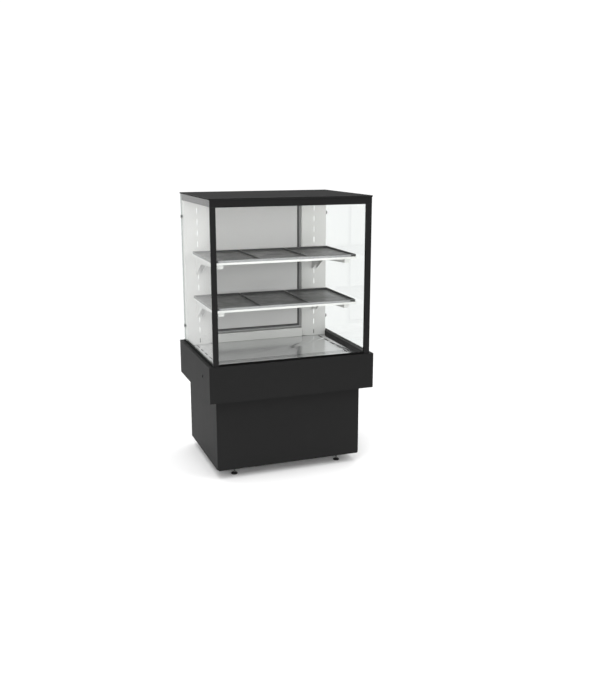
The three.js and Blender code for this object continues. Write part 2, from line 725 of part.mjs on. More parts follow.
// A tapered channel, open below, with two hooks that drop into the column's slots.
// Origin at the top face, on the channel's middle line.
function shelfBracket() {
  const rear = COLUMN_FRONT - GAP;
  const outline = [
    [BRACKET_FRONT, 0], [BRACKET_FRONT, -19], [130, -37], [rear - 4, -104], [rear, -104], [rear, 0],
  ];
  const inside = [
    [BRACKET_FRONT + SHEET, -SHEET], [BRACKET_FRONT + SHEET, -60], [rear - 3, -120],
    [rear - 3, -SHEET],
  ];
  const half = BRACKET_WIDTH / 2;
  const channel = cut(
    alongX(outline, [-half, half]), alongX(inside, [-half + SHEET, half - SHEET]),
  );
  const hooks = [-6, -60].map((z) => join(
    block([-HOOK_HALF_W, HOOK_HALF_W], [rear - 1, rear + 8], [z - 5, z + 4]),
    block([-HOOK_HALF_W, HOOK_HALF_W], [rear + 4, rear + 8], [z - 12, z]),
  ));
  return join(channel, ...hooks);
}

// A shallow pressed shelf: flat top, hems turned down all round. Origin at its underside.
function shelfPlate() {
  const [x, front, rear] = [SHELF_HALF_W, SHELF_FRONT, SHELF_REAR];
  const body = block([-x, x], [front, rear], [GAP, SHELF_THICKNESS]);
  const hollow = block(
    [-x + SHEET, x - SHEET], [front + SHEET, rear - SHEET], [-1, SHELF_THICKNESS - SHEET],
  );
  // Flat pads where the brackets bear.
  const pads = [-1, 1].map((side) => block(
    [side * (SLOT_X - 12), side * (SLOT_X + 12)], [BRACKET_FRONT + 10, 160],
    [GAP, SHELF_THICKNESS - 1],
  ));
  return join(cut(body, hollow), ...pads);
}

function displayTray() {
  const half = SHELF_HALF_W / 3 - 0.4;
  const [front, rear] = [SHELF_FRONT + RAIL_DEPTH + 1, TRAY_REAR];
  const body = alongZ(roundedRectangle([-half, half], [front, rear], 6), [GAP, TRAY_HEIGHT]);
  const hollow = alongZ(
    roundedRectangle([-half + TRAY_WALL, half - TRAY_WALL], [front + TRAY_WALL, rear - TRAY_WALL], 4),
    [TRAY_WALL, TRAY_HEIGHT + 1],
  );
  return cut(body, hollow);
}

// The light plastic strip along the shelf's front edge.
function priceRail() {
  const path = [
    [SHELF_FRONT + RAIL_DEPTH, 1.8], [SHELF_FRONT + 1.8, 1.8], [SHELF_FRONT + 1.8, TRAY_HEIGHT],
  ];
  return alongX(folded([...path].reverse(), -1.5), [-RAIL_HALF_W, RAIL_HALF_W]);
}

function shelf(level) {
  const top = SHELF_TOPS[level];
  const deckZ = SHELF_THICKNESS;
  const plate = piece(`shelf_plate_${level}`, shelfPlate(), whiteSteel);
  const rail = placed(piece(`price_rail_${level}`, priceRail(), greyPlastic), 0, 0, deckZ);
  const trays = TRAYS.map((name, i) => {
    const x = ((i - 1) * 2 * SHELF_HALF_W) / 3;
    return placed(piece(`tray_${level}_${name}`, displayTray(), darkTray), x, 0, deckZ);
  });
  const brackets = SIDES.map(([name, side]) => placed(
    piece(`bracket_${level}_${name}`, shelfBracket(), whiteSteel), side * SLOT_X, 0, 0,
  ));
  return groupAt([0, 0, top], plate, rail, ...trays, ...brackets);
}

// ---- Rear door ----------------------------------------------------------------------------

function doorFrame() {
  const ring = alongY(
    rectangle([-DOOR_HALF_W, DOOR_HALF_W], [DOOR_BOTTOM, DOOR_TOP]), [DOOR_FRONT, DOOR_REAR],
    [rectangle(
      [-DOOR_HALF_W + DOOR_BAR, DOOR_HALF_W - DOOR_BAR],
      [DOOR_BOTTOM + DOOR_BAR, DOOR_TOP - DOOR_BAR],
    )],
  );
  const { x, y, pin } = DOOR_PIVOT;
  return cut(
    ring,
    bar('z', [x, y], pin + GAP, [DOOR_BOTTOM - 1, DOOR_BOTTOM + 14], 16),
    bar('z', [x, y], pin + GAP, [DOOR_TOP - 14, DOOR_TOP + 1], 16),
  );
}

function doorPanel() {
  const half = DOOR_HALF_W - DOOR_BAR - GAP;
  return block(
    [-half, half], [DOOR_FRONT + 2, DOOR_REAR - 2],
    [DOOR_BOTTOM + DOOR_BAR + GAP, DOOR_TOP - DOOR_BAR - GAP],
  );
}

// An angled grip on the free edge: the fingers go behind its lip. Origin at its middle, on the
// door's outer face.
function doorHandle() {
  const lip = HALF_D - DOOR_REAR - GAP;
  const path = [[4, lip], [-8, lip], [-8, GAP], [9, GAP]];
  return alongZ(folded(path, 2.4), [-90, 90]);
}

function doorPivot(up) {
  const { x, y, pin } = DOOR_PIVOT;
  const [plate, tip] = up
    ? [[SILL_TOP + GAP, DOOR_BOTTOM - GAP], DOOR_BOTTOM + 12]
    : [[DOOR_TOP + 2, HEADER_BOTTOM - GAP], DOOR_TOP - 12];
  const root = (plate[0] + plate[1]) / 2;
  return join(
    block([x - 22, x + 10], [y - 7, y + 4.7], plate),
    bar('z', [x, y], pin, [Math.min(root, tip), Math.max(root, tip)], 16),
  );
}

function rearDoor() {
  const group = new THREE.Group();
  group.add(piece('rear_door_frame', doorFrame(), blackSteel));
  group.add(piece('rear_door_panel', doorPanel(), doorGrey));
  group.add(groupAt(
    [-DOOR_HALF_W + DOOR_BAR / 2, DOOR_REAR, 920],
    piece('rear_door_handle', doorHandle(), blackPlastic),
  ));
  group.add(piece('door_pivot_lower', doorPivot(true), chrome));
  group.add(piece('door_pivot_upper', doorPivot(false), chrome));
  return group;
}

// ---- Whole --------------------------------------------------------------------------------

const displayCase = new THREE.Group();
displayCase.add(
  pedestal(), refrigeration(), deck(), glassBox(), shelf('upper'), shelf('lower'), rearDoor(),
);

export default displayCase;
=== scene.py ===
"""Looks for the bakery display case: detailed pieces and node-based materials on the CAD frame."""

import json
import math

import bmesh
import bpy
from mathutils import Matrix, Vector


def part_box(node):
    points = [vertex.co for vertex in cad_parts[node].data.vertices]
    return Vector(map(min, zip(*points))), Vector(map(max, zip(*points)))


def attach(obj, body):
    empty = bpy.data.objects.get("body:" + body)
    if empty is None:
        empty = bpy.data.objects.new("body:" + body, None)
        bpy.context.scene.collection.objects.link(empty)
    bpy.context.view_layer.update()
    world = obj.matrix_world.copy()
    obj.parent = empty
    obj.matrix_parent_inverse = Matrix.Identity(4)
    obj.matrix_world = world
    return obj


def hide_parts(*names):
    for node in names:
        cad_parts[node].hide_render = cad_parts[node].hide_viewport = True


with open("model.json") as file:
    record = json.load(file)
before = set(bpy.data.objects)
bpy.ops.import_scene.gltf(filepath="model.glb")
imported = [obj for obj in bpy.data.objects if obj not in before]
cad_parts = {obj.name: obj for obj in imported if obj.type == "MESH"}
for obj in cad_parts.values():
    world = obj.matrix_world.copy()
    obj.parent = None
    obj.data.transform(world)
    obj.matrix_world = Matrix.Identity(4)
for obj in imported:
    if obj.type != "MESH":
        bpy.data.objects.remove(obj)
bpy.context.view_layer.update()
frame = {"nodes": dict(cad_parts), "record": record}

BODY = {
    node: body
    for body, nodes in frame["record"]["behaviour"]["bodies"].items()
    for node in nodes
}
SLOT = {part["node"]: part["material_slot"] for part in frame["record"]["subparts"]}
MM = 0.001


# ---- Camera -------------------------------------------------------------------------------

YAW, PITCH = 0.355, -0.227
camera = bpy.data.objects.new("camera", bpy.data.cameras.new("camera"))
camera.data.sensor_width = 36
camera.data.lens = 43.83
camera.location = (-1.2496, -3.7466, 1.5078)
camera.rotation_mode = "QUATERNION"
camera.rotation_quaternion = Vector((
    math.sin(YAW) * math.cos(PITCH), math.cos(YAW) * math.cos(PITCH), math.sin(PITCH),
)).to_track_quat("-Z", "Y")
bpy.context.scene.collection.objects.link(camera)
bpy.context.scene.camera = camera


# ---- Materials ----------------------------------------------------------------------------

class Look:
    """A material under construction."""

    def __init__(self, name):
        self.material = bpy.data.materials.new(name)
        self.material.use_nodes = True
        self.tree = self.material.node_tree
        self.tree.nodes.clear()
        self.output = self.node("ShaderNodeOutputMaterial")
        self.place = self.node("ShaderNodeTexCoord").outputs["Object"]

    def node(self, kind, **settings):
        made = self.tree.nodes.new(kind)
        for key, value in settings.items():
            if key in made.inputs:
                self.feed(made.inputs[key], value)
            else:
                setattr(made, key, value)
        return made

    def feed(self, socket, value):
        if isinstance(value, bpy.types.NodeSocket):
            self.tree.links.new(value, socket)
        else:
            socket.default_value = value

    def stretched(self, scale):
        return self.node("ShaderNodeMapping", Vector=self.place, Scale=scale).outputs[0]

    def noise(self, scale, detail=2.0, stretch=None, rough=0.5):
        place = self.stretched(stretch) if stretch else self.place
        made = self.node(
            "ShaderNodeTexNoise", Vector=place, Scale=scale, Detail=detail, Roughness=rough,
        )
        return made.outputs["Fac"]

    def maths(self, operation, a, b=0.0, clamp=False):
        made = self.node("ShaderNodeMath", operation=operation, use_clamp=clamp)
        self.feed(made.inputs[0], a)
        self.feed(made.inputs[1], b)
        return made.outputs[0]

    def ranged(self, value, lo, hi, out_lo, out_hi):
        made = self.node("ShaderNodeMapRange", Value=value)
        for key, number in zip(("From Min", "From Max", "To Min", "To Max"), (lo, hi, out_lo, out_hi)):
            made.inputs[key].default_value = number
        return made.outputs[0]

    def blended(self, factor, dark, light):
        made = self.node("ShaderNodeMix", data_type="RGBA")
        self.feed(made.inputs[0], factor)
        self.feed(made.inputs[6], dark)
        self.feed(made.inputs[7], light)
        return made.outputs[2]

    def bumped(self, *heights):
        """Each height is (value, depth in metres)."""
        normal = None
        for value, depth in heights:
            made = self.node("ShaderNodeBump", Height=value, Strength=1.0, Distance=depth)
            if normal is not None:
                self.feed(made.inputs["Normal"], normal)
            normal = made.outputs[0]
        return normal

    def shader(self, **inputs):
        made = self.node("ShaderNodeBsdfPrincipled")
        for key, value in inputs.items():
            self.feed(made.inputs[key.replace("_", " ")], value)
        self.feed(self.output.inputs[0], made.outputs[0])
        return self


def rgba(level, tint=(1, 1, 1)):
    return (level * tint[0], level * tint[1], level * tint[2], 1)


def coating(name, level, tint=(1, 1, 1), gloss=0.45, spread=0.08, specular=0.5, grain=900.0,
            peel=0.00002, mottle=0.06, dust=0.0):
    """A sprayed or powder-coated metal: orange peel, fine grain, and slow changes of shade."""
    look = Look(name)
    slow = look.noise(5.0, 3.0)
    fine = look.noise(grain, 2.0)
    waves = look.noise(grain / 6, 2.0)
    smears = look.noise(14.0, 4.0, (1, 1, 0.6), 0.6)
    shade = look.ranged(look.maths("ADD", slow, look.maths("MULTIPLY", fine, 0.5)), 0.5, 1.0, 0, 1)
    colour = look.blended(shade, rgba(level * (1 - mottle), tint), rgba(level * (1 + mottle), tint))
    if dust:
        specks = look.ranged(look.noise(420.0, 3.0, None, 0.7), 0.62, 0.72, 0, dust)
        colour = look.blended(specks, colour, rgba(0.4))
    roughness = look.ranged(smears, 0.3, 0.7, gloss - spread, gloss + spread)
    normal = look.bumped((waves, peel), (fine, peel / 5))
    look.shader(Base_Color=colour, Roughness=roughness, Normal=normal, Specular_IOR_Level=specular)
    return look.material


def moulded(name, level, tint=(1, 1, 1), gloss=0.45, specular=0.5, texture=1500.0, depth=0.00002,
            glow=0.0):
    """Moulded plastic or rubber with a spark-eroded texture."""
    look = Look(name)
    cells = look.node("ShaderNodeTexVoronoi", Vector=look.place, Scale=texture).outputs["Distance"]
    slow = look.noise(30.0, 3.0)
    colour = look.blended(slow, rgba(level * 0.88, tint), rgba(level * 1.1, tint))
    roughness = look.ranged(look.noise(80.0, 3.0), 0.3, 0.7, gloss - 0.06, gloss + 0.06)
    look.shader(
        Base_Color=colour, Roughness=roughness, Normal=look.bumped((cells, depth)),
        Specular_IOR_Level=specular, Emission_Color=rgba(1, (1, 0.99, 0.96)), Emission_Strength=glow,
    )
    return look.material


def brushed(name, level, tint=(1, 1, 1), gloss=0.32, lines=(2, 260, 260), depth=0.000012,
            smear=0.035):
    """Metal sheet with a directional grain, faint scratches and wiping marks."""
    look = Look(name)
    grain = look.noise(3.2, 6.0, lines, 0.65)
    long_grain = look.noise(1.1, 4.0, tuple(v * 0.5 for v in lines), 0.6)
    marks = look.noise(9.0, 5.0, None, 0.62)
    scratch_lines = tuple(1.5 if v < 10 else v for v in lines)
    scratch = look.ranged(look.noise(3.0, 3.0, scratch_lines, 0.5), 0.7, 0.74, 0, 1)
    colour = look.blended(grain, rgba(level * 0.9, tint), rgba(level * 1.05, tint))
    colour = look.blended(look.maths("MULTIPLY", scratch, 0.08), colour, rgba(level * 0.75, tint))
    roughness = look.maths(
        "ADD", look.ranged(grain, 0.3, 0.7, gloss - 0.06, gloss + 0.06),
        look.ranged(marks, 0.35, 0.65, -smear, smear),
    )
    look.shader(
        Base_Color=colour, Metallic=1.0, Roughness=roughness,
        Normal=look.bumped((grain, depth), (long_grain, depth * 2)),
    )
    return look.material


def pane(name, tint, dirt=0.02):
    """Clear sheet glass: see-through, mirroring more at a low angle, with faint wipe marks."""
    look = Look(name)
    geometry = look.node("ShaderNodeNewGeometry")
    facing_out = look.maths("SUBTRACT", 1.0, geometry.outputs["Backfacing"])
    fresnel = look.node("ShaderNodeFresnel", IOR=1.5)
    smudge = look.ranged(look.noise(7.0, 5.0, None, 0.6), 0.45, 0.75, 0.0, dirt)
    wave = look.noise(6.0, 1.0)
    clear = look.node("ShaderNodeBsdfTransparent", Color=tint)
    mirror = look.node("ShaderNodeBsdfGlossy", Color=rgba(0.96), Roughness=0.02)
    look.feed(mirror.inputs["Normal"], look.bumped((wave, 0.0004)))
    film = look.node("ShaderNodeBsdfDiffuse", Color=rgba(0.85))
    seen = look.node("ShaderNodeMixShader", Fac=look.maths("MULTIPLY", fresnel.outputs[0], facing_out))
    look.feed(seen.inputs[1], clear.outputs[0])
    look.feed(seen.inputs[2], mirror.outputs[0])
    wiped = look.node("ShaderNodeMixShader", Fac=look.maths("MULTIPLY", smudge, facing_out))
    look.feed(wiped.inputs[1], seen.outputs[0])
    look.feed(wiped.inputs[2], film.outputs[0])
    look.feed(look.output.inputs[0], wiped.outputs[0])
    return look.material


BLACK = coating("black_powder_coat", 0.0115, (1, 1, 1), 0.54, 0.012, 0.08, mottle=0.03, dust=0.006)
CAP = coating("black_powder_coat_top", 0.0115, (1, 1, 1), 0.72, 0.02, 0.04, peel=0.000008,
              mottle=0.03, dust=0.01)
BLACK_EDGE = coating("black_powder_coat_edge", 0.02, (1, 1, 1), 0.4, 0.04, 0.3)
WHITE = coating("white_powder_coat", 0.68, (1, 0.995, 0.975), 0.42, 0.06, 0.5, mottle=0.02)
WHITE_EDGE = coating("white_powder_coat_edge", 0.76, (1, 1, 0.985), 0.36, 0.05, 0.5, mottle=0.02)
STEEL = brushed("brushed_stainless", 0.68, (1, 1.005, 1.01), 0.21, depth=0.000008, smear=0.02)
STEEL_EDGE = brushed("brushed_stainless_edge", 0.7, (1, 1, 1), 0.26)
GLASS = pane("clear_glass", (0.989, 0.996, 0.993, 1), 0.006)
GLASS_EDGE = coating("ground_glass_edge", 0.3, (0.86, 1, 0.95), 0.3, 0.06, 0.6, 2000.0)
TRAY = coating("tray_coating", 0.055, (0.98, 1.0, 0.97), 0.36, 0.08, 0.5, 1300.0, 0.00003, 0.1, 0.05)
TRAY_EDGE = coating("tray_coating_edge", 0.13, (1, 1, 1), 0.3, 0.06, 0.5, 1300.0)
RAIL = moulded("price_rail_plastic", 0.3, (1, 1, 1.01), 0.28, 0.5, 700.0, 0.000006)
PLASTIC = moulded("black_moulded_plastic", 0.012, (1, 1, 1.02), 0.45, 0.4)
PLASTIC_EDGE = moulded("black_moulded_plastic_edge", 0.022, (1, 1, 1), 0.36, 0.5)
DOOR = coating("door_skin_paint", 0.6, (1, 0.985, 0.98), 0.4, 0.08, 0.5, 700.0, 0.00003, 0.025)
OPAL = moulded("opal_diffuser", 0.85, (1, 1, 0.98), 0.35, 0.5, 900.0, 0.000008, 15.0)
LINER = moulded("liner_foam_skin", 0.3, (1, 1, 0.99), 0.55, 0.4, 800.0, 0.00004)
TUB = moulded("tub_foam_skin", 0.035, (1, 1, 0.99), 0.6, 0.3, 800.0, 0.00004)
ALUMINIUM = brushed("aluminium_fin_stock", 0.62, (1, 1, 1.01), 0.36, (260, 2, 2))
CHROME = brushed("dark_nickel", 0.3, (1, 1, 1.01), 0.2, (60, 60, 60), 0.000004, 0.05)
ENAMEL = coating("machine_enamel", 0.014, (1, 1, 1.03), 0.28, 0.07, 0.5, 420.0, 0.00005)
RUBBER = moulded("black_rubber", 0.003, (1, 1, 1), 0.7, 0.1, 1100.0, 0.00003)
# Black rubber painted a lighter grey: a painted sheen that stands for light falling on the inner side
# seals, not a grey rubber.
PAINTED_SHEEN_RUBBER = moulded("black_rubber_painted_sheen", 0.06, (1, 1, 1), 0.55, 0.35, 1100.0, 0.00003)
SWITCH = moulded("switch_plastic", 0.002, (1, 1, 1), 0.4, 0.06, 1300.0, 0.00001)
GASKET = moulded("dark_gasket", 0.085, (1, 1, 1), 0.5, 0.4, 900.0, 0.00002)
GASKET_LIP = moulded("light_gasket_lip", 0.34, (1, 1, 1), 0.5, 0.4, 900.0, 0.00002)
ZINC = brushed("zinc_plate", 0.45, (1, 1, 0.97), 0.34, (90, 90, 90), 0.00001)
PRINT = coating("printed_mark", 0.6, (1, 1, 1), 0.5, 0.05, 0.3, 1500.0)

LOOKS = {
    "black_steel": (BLACK, BLACK_EDGE),
    "white_steel": (WHITE, WHITE_EDGE),
    "stainless": (STEEL, STEEL_EDGE),
    "clear_glass": (GLASS, GLASS_EDGE),
    "dark_tray": (TRAY, TRAY_EDGE),
    "price_rail_grey": (RAIL, RAIL),
    "black_plastic": (PLASTIC, PLASTIC_EDGE),
    "door_grey": (DOOR, DOOR),
    "lamp_white": (OPAL, OPAL),
    "insulated_liner": (LINER, LINER),
    "aluminium": (ALUMINIUM, ALUMINIUM),
    "dark_chrome": (CHROME, CHROME),
    "cast_black": (ENAMEL, ENAMEL),
}


# ---- Making pieces ------------------------------------------------------------------------

def finished(name, bm, materials, body, round_off=0.0, segments=2, crease=30, stands_for=()):
    """Turns a bmesh into a piece: merges, rounds its sharp edges, and hangs it on a body."""
    bmesh.ops.remove_doubles(bm, verts=bm.verts, dist=1e-6)
    bmesh.ops.recalc_face_normals(bm, faces=bm.faces)
    if round_off:
        flat = math.radians(1)
        bmesh.ops.dissolve_limit(bm, angle_limit=flat, verts=bm.verts, edges=bm.edges)
        sharp = [
            e for e in bm.edges
            if len(e.link_faces) == 2 and e.calc_face_angle(0) > math.radians(crease)
        ]
        bmesh.ops.bevel(
            bm, geom=sharp, offset=round_off, segments=segments, profile=0.6, affect="EDGES",
            clamp_overlap=True, material=1 if len(materials) > 1 else 0,
        )
    mesh = bpy.data.meshes.new(name)
    bm.to_mesh(mesh)
    bm.free()
    for material in materials:
        mesh.materials.append(material)
    mesh.shade_smooth()
    mesh.set_sharp_from_angle(angle=math.radians(38))
    piece = bpy.data.objects.new(name, mesh)
    bpy.context.scene.collection.objects.link(piece)
    if round_off:
        piece.modifiers.new("weighted", "WEIGHTED_NORMAL").keep_sharp = True
    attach(piece, body)
    if stands_for:
        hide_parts(*stands_for)
    return piece


def rounded(node, round_off, segments=2, crease=30, looks=None, change=None):
    """A copy of a CAD node with softened edges, which stands for it."""
    bm = bmesh.new()
    bm.from_mesh(frame["nodes"][node].data)
    for face in bm.faces:
        face.material_index = 0
    if change:
        change(bm)
    return finished(
        node + "_detail", bm, looks or LOOKS[SLOT[node]], BODY[node], round_off * MM,
        segments, crease, (node,),
    )


def prism(bm, outline, axis, lo, hi):
    """Extrudes an outline in mm along an axis. It is in (y, z), (x, z) or (x, y)."""
    def at(a, b, t):
        return {"x": (t, a, b), "y": (a, t, b), "z": (a, b, t)}[axis]
    low = [bm.verts.new(Vector(at(a, b, lo)) * MM) for a, b in outline]
    high = [bm.verts.new(Vector(at(a, b, hi)) * MM) for a, b in outline]
    bm.faces.new(low)
    bm.faces.new(high[::-1])
    for i in range(len(low)):
        j = (i + 1) % len(low)
        bm.faces.new((low[i], high[i], high[j], low[j]))


def slab(bm, x, y, z):
    prism(bm, [(x[0], y[0]), (x[1], y[0]), (x[1], y[1]), (x[0], y[1])], "z", z[0], z[1])


def lathed(bm, profile, axis, centre, steps=32):
    """Turns a profile of (radius, height) in mm about an axis through centre."""
    spin = {"x": Matrix.Rotation(math.pi / 2, 4, "Y"), "y": Matrix.Rotation(-math.pi / 2, 4, "X"),
            "z": Matrix.Identity(4)}[axis]
    place = Matrix.Translation(Vector(centre) * MM) @ spin
    rings = []
    for radius, height in profile:
        if radius < 1e-6:
            rings.append([bm.verts.new(place @ (Vector((0, 0, height)) * MM))])
            continue
        angles = [2 * math.pi * i / steps for i in range(steps)]
        rings.append([
            bm.verts.new(place @ (Vector((radius * math.cos(a), radius * math.sin(a), height)) * MM))
            for a in angles
        ])
    for low, high in zip(rings, rings[1:]):
        for i in range(steps):
            j = (i + 1) % steps
            corners = [low[i % len(low)], low[j % len(low)], high[j % len(high)], high[i % len(high)]]
            corners = list(dict.fromkeys(corners))
            if len(corners) > 2:
                bm.faces.new(corners)


def tube(bm, path, radius, steps=10, closed=False):
    """A round tube along points in mm."""
    points = [Vector(p) for p in path]
    count = len(points)
    rings = []
    for i, point in enumerate(points):
        before = points[i - 1] if i or closed else point
        after = points[(i + 1) % count] if i < count - 1 or closed else point
        along = (after - before).normalized()
        side = along.cross(Vector((0, 0, 1)) if abs(along.z) < 0.9 else Vector((1, 0, 0))).normalized()
        up = side.cross(along)
        rings.append([
            bm.verts.new((point + (side * math.cos(a) + up * math.sin(a)) * radius) * MM)
            for a in (2 * math.pi * k / steps for k in range(steps))
        ])
    pairs = list(zip(rings, rings[1:])) + ([(rings[-1], rings[0])] if closed else [])
    for low, high in pairs:
        for k in range(steps):
            m = (k + 1) % steps
            bm.faces.new((low[k], low[m], high[m], high[k]))
    if not closed:
        bm.faces.new(rings[0][::-1])
        bm.faces.new(rings[-1])


def cut_away(piece, cutter_bm):
    """Boolean cut, applied."""
    mesh = bpy.data.meshes.new("cutter")
    cutter_bm.to_mesh(mesh)
    cutter_bm.free()
    cutter = bpy.data.objects.new("cutter", mesh)
    bpy.context.scene.collection.objects.link(cutter)
    boolean = piece.modifiers.new("cut", "BOOLEAN")
    boolean.operation = "DIFFERENCE"
    boolean.solver = "EXACT"
    boolean.object = cutter
    piece.modifiers.move(len(piece.modifiers) - 1, 0)
    bpy.context.view_layer.update()
    evaluated = piece.evaluated_get(bpy.context.evaluated_depsgraph_get())
    result = bpy.data.meshes.new_from_object(evaluated)
    piece.modifiers.clear()
    piece.data = result
    bpy.data.objects.remove(cutter)


def box_mm(node):
    lo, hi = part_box(node)
    return lo * 1000, hi * 1000


def cross_screw(name, centre, radius, body):
    """A pan-head screw with a cross recess. The head rises along +Y."""
    x, y, z = centre
    dome = [(0, 0), (radius, 0), (radius, 0.5), (radius * 0.86, 1.4), (radius * 0.5, 1.9), (0, 2.05)]
    bm = bmesh.new()
    lathed(bm, dome, "y", centre, 20)
    piece = finished(name, bm, (ZINC,), body)
    arm, wide = radius * 0.55, radius * 0.13
    quarter = [(arm, -wide), (arm, wide), (wide, wide)]
    cross = []
    for turn in range(4):
        for a, b in quarter:
            for _ in range(turn):
                a, b = -b, a
            cross.append((x + a, z + b))
    cutter = bmesh.new()
    prism(cutter, cross, "y", y + 1.1, y + 4)
    bmesh.ops.recalc_face_normals(cutter, faces=cutter.faces)
    cut_away(piece, cutter)


# ---- Copies of the CAD nodes with real edges ----------------------------------------------

for node in ("pedestal_front_panel", "pedestal_side_left", "pedestal_side_right",
             "pedestal_base_plate", "deck_front_panel", "deck_rear_panel", "deck_side_left",
             "deck_side_right", "header_frame", "post_front_left",
             "post_front_right", "rear_door_frame"):
    rounded(node, 0.7)
rounded("cap_plate", 0.7, looks=(CAP, BLACK_EDGE))
for node in ("rear_sill", "column_rear_left", "column_rear_right", "shelf_plate_upper",
             "shelf_plate_lower", "bracket_upper_left", "bracket_upper_right",
             "bracket_lower_left", "bracket_lower_right"):
    rounded(node, 0.5)


def edges_ground(across):
    """Gives the narrow faces of a pane the second material."""
    def change(bm):
        for face in bm.faces:
            face.material_index = 0 if abs(face.normal[across]) > 0.9 else 1
    return change


rounded("front_glass", 0.8, 1, looks=(GLASS, RUBBER), change=edges_ground(1))
for node in ("side_glass_left", "side_glass_right"):
    rounded(node, 0.8, 1, change=edges_ground(0))
rounded("deck_tub", 1.2, looks=(TUB, TUB))
for node in ("top_lamp", "rear_door_panel", "compressor", "condenser_fan_housing"):
    rounded(node, 1.2)
for node in ("price_rail_upper", "price_rail_lower", "rear_door_handle", "thermostat",
             "condenser_fan", "evaporator_fan", "door_pivot_lower", "door_pivot_upper"):
    rounded(node, 0.4)
for node in ("condenser", "evaporator"):
    rounded(node, 0.0)


# ---- Deck ---------------------------------------------------------------------------------

floor_lo, floor_hi = box_mm("deck_floor")
deck_floor = rounded("deck_floor", 0.3, 1)

# Rows of holes in the floor: where, the radius, the pitch, and how far each end is drawn out.
HOLE_ROWS = (
    (floor_lo.y + 119, 2.2, 9.0, 5.0),
    (floor_lo.y + 141, 2.2, 9.0, 5.0),
    (floor_hi.y - 9, 1.8, 12.0, 0.0),
)
HOLE_ROW_LENGTH = 640
HOLE_SIDES = 10
holes = bmesh.new()
for y, radius, pitch, reach in HOLE_ROWS:
    count = int(HOLE_ROW_LENGTH / pitch)
    for i in range(count):
        x = (i - (count - 1) / 2) * pitch
        ring = []
        for k in range(HOLE_SIDES):
            angle = 2 * math.pi * k / HOLE_SIDES
            shift = reach if k < HOLE_SIDES / 2 else -reach
            ring.append((x + radius * math.cos(angle), y + radius * math.sin(angle) + shift))
        prism(holes, ring, "z", floor_lo.z - 2, floor_hi.z + 2)
bmesh.ops.recalc_face_normals(holes, faces=holes.faces)
cut_away(deck_floor, holes)
deck_floor.data.set_sharp_from_angle(angle=math.radians(38))

# Rubber seals where the panes stand on the deck.
SEAL_FOOT = 560.1
SEAL_ROUND = 0.3 * MM
front_lo, front_hi = box_mm("front_glass")
side_lo, side_hi = box_mm("side_glass_left")
outer_seal = [
    (front_lo.y - 3.4, SEAL_FOOT), (front_lo.y - 0.15, SEAL_FOOT), (front_lo.y - 0.15, 567),
    (front_lo.y - 1.6, 567.6), (front_lo.y - 2.9, 565.6),
]
inner_seal = [
    (front_hi.y + 0.15, SEAL_FOOT), (front_hi.y + 3.4, SEAL_FOOT), (front_hi.y + 2.9, 565.6),
    (front_hi.y + 1.6, 567.6), (front_hi.y + 0.15, 567),
]
for place, seal in (("outer", outer_seal), ("inner", inner_seal)):
    bm = bmesh.new()
    prism(bm, seal, "x", front_lo.x + 0.3, front_hi.x - 0.3)
    finished(f"front_glass_seal_{place}", bm, (RUBBER,), "case", SEAL_ROUND)

# Beside each side pane: where, its x, which way it faces, its ends, its top and its material.
SIDE_SEALS = (
    ("outer", 380.15, 1, (side_lo.y + 2, side_hi.y), 567.4, RUBBER),
    # The inner seals are the same black rubber as the outer ones, painted lighter grey as a painted sheen.
    ("inner", 373.85, -1, (-278, 244), 566.5, PAINTED_SHEEN_RUBBER),
)
for name, side in (("left", -1), ("right", 1)):
    for place, x, out, ends, top, look in SIDE_SEALS:
        shape = [
            (x, SEAL_FOOT), (x + 3.0 * out, SEAL_FOOT), (x + 2.6 * out, 565.4),
            (x + 1.6 * out, 567.4), (x, 567),
        ]
        bm = bmesh.new()
        prism(bm, [(a * side, min(b, top)) for a, b in shape], "y", *ends)
        finished(f"side_glass_seal_{name}_{place}", bm, (look,), "case", SEAL_ROUND)

rounded("light_switch_bezel", 0.6, 3, looks=(SWITCH, SWITCH))
rounded("light_switch_rocker", 0.3, looks=(SWITCH, PLASTIC_EDGE))


# ---- Feet ---------------------------------------------------------------------------------

PAD = ((0, 0), (12.6, 0), (14.2, 0.5), (15, 1.6), (15, 5.2), (14.2, 6.3), (9, 8.4), (7, 10), (0, 10.2))
THREAD_ROOT = 4.2
THREAD_CREST = 4.9
THREAD_PITCH = 1.5
THREAD_TOP = 56
NUT_RADIUS = 9

for node in ("foot_front_left", "foot_front_right", "foot_rear_left", "foot_rear_right"):
    lo, hi = box_mm(node)
    centre = ((lo.x + hi.x) / 2, (lo.y + hi.y) / 2, 0)
    bm = bmesh.new()
    lathed(bm, PAD, "z", centre, 40)
    finished(node + "_pad", bm, (PLASTIC,), BODY[node], stands_for=(node,))
    bm = bmesh.new()
    thread, height = [(0, 9.5)], 10.0
    while height < THREAD_TOP:
        thread += [(THREAD_ROOT, height), (THREAD_CREST, height + THREAD_PITCH / 2)]
        height += THREAD_PITCH
    lathed(bm, thread + [(THREAD_ROOT, height), (0, height + 0.8)], "z", centre, 16)
    finished(node + "_stud", bm, (ZINC,), BODY[node])
    bm = bmesh.new()
    hexagon = []
    for k in range(6):
        angle = math.pi * k / 3
        hexagon.append((centre[0] + NUT_RADIUS * math.cos(angle), centre[1] + NUT_RADIUS * math.sin(angle)))
    prism(bm, hexagon, "z", 26, 34)
    finished(node + "_nut", bm, (ZINC,), BODY[node], 0.6 * MM)


# ---- Service side -------------------------------------------------------------------------

LOUVRE_CENTRES = (-165, 165)
LOUVRE_HALF_WIDTH = 127
LOUVRE_ROWS = 9
LOUVRE_PITCH = 24
LOUVRE_BOTTOM = 85
LOUVRE_OPENING = 10
HOOD_CHEEK = 1.2
SCREW_COLUMNS = (-343, 0, 343)
SCREW_ROWS = (58, 379)

